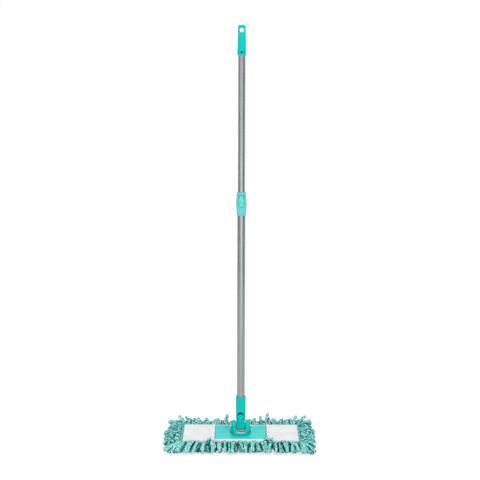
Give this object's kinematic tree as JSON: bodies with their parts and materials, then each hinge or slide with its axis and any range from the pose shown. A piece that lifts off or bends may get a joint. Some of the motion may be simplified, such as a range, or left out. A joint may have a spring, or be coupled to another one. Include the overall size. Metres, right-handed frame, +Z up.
{
  "type": "flat dust mop",
  "caption": "Flat dust mop with a teal chenille pad on a pocket frame, a swivelling and tilting joint and a telescopic grey handle with a flip-lever lock.",
  "frame": {"origin": "on the floor under the handle's axis, at the middle of the pad", "axes": "+Z up along the upright handle, +X along the pad's length, -Y towards the side with the release tab and the lever"},
  "size_m": [0.442, 0.176, 1.175],
  "materials": {
    "teal_plastic": "satin",
    "pale_teal_plastic": "satin",
    "grey_tube": "satin",
    "grey_steel": "satin",
    "zinc_steel": "zinc plated",
    "dark_screw": "black oxide",
    "black_nylon": "moulded",
    "teal_cloth": "woven",
    "white_cloth": "woven",
    "chenille": "chenille pile"
  },
  "bodies": {
    "mop_head": {"pad_backing": "teal_cloth", "pad_liner": "white_cloth", "pocket_left": "white_cloth", "pocket_right": "white_cloth", "pile_underside": "chenille", "fringe_front": "chenille", "fringe_back": "chenille", "fringe_left": "chenille", "fringe_right": "chenille", "frame_plate": "black_nylon", "centre_cover": "teal_plastic", "cover_screws": "zinc_steel"},
    "turntable": {"yoke": "teal_plastic", "swivel_plate": "grey_steel", "swivel_rivet": "zinc_steel", "retaining_washer": "zinc_steel", "tilt_pin": "zinc_steel", "pin_retainer": "zinc_steel"},
    "lower_handle": {"knuckle": "teal_plastic", "handle_socket": "teal_plastic", "socket_screw": "zinc_steel", "lower_tube": "grey_tube", "lock_collar": "pale_teal_plastic", "lever_pin": "zinc_steel", "brake_shoe": "black_nylon"},
    "tab": {"release_tab": "teal_plastic"},
    "lever": {"lock_lever": "pale_teal_plastic"},
    "upper_handle": {"upper_tube": "grey_tube", "guide_bush": "black_nylon", "hang_cap": "teal_plastic", "cap_screw": "dark_screw"}
  },
  "joints": [
    {"name": "head_swivel", "type": "hinge", "parent": "mop_head", "child": "turntable", "pos_m": [0, 0, 0.0312], "axis": [0, 0, 1], "continuous": true},
    {"name": "handle_tilt", "type": "hinge", "parent": "turntable", "child": "lower_handle", "pos_m": [0, 0, 0.0506], "axis": [1, 0, 0], "range_deg": [-90, 90]},
    {"name": "telescope", "type": "slide", "parent": "lower_handle", "child": "upper_handle", "axis": [0, 0, 1], "range_m": [-0.35, 0.12]},
    {"name": "lever_flip", "type": "hinge", "parent": "lower_handle", "child": "lever", "pos_m": [0, -0.014, 0.723], "axis": [-1, 0, 0], "range_deg": [0, 95]},
    {"name": "tab_press", "type": "hinge", "parent": "lower_handle", "child": "tab", "pos_m": [0, -0.0112, 0.0626], "axis": [-1, 0, 0], "range_deg": [0, 4], "stiffness_Nm_per_rad": 0.3}
  ]
}
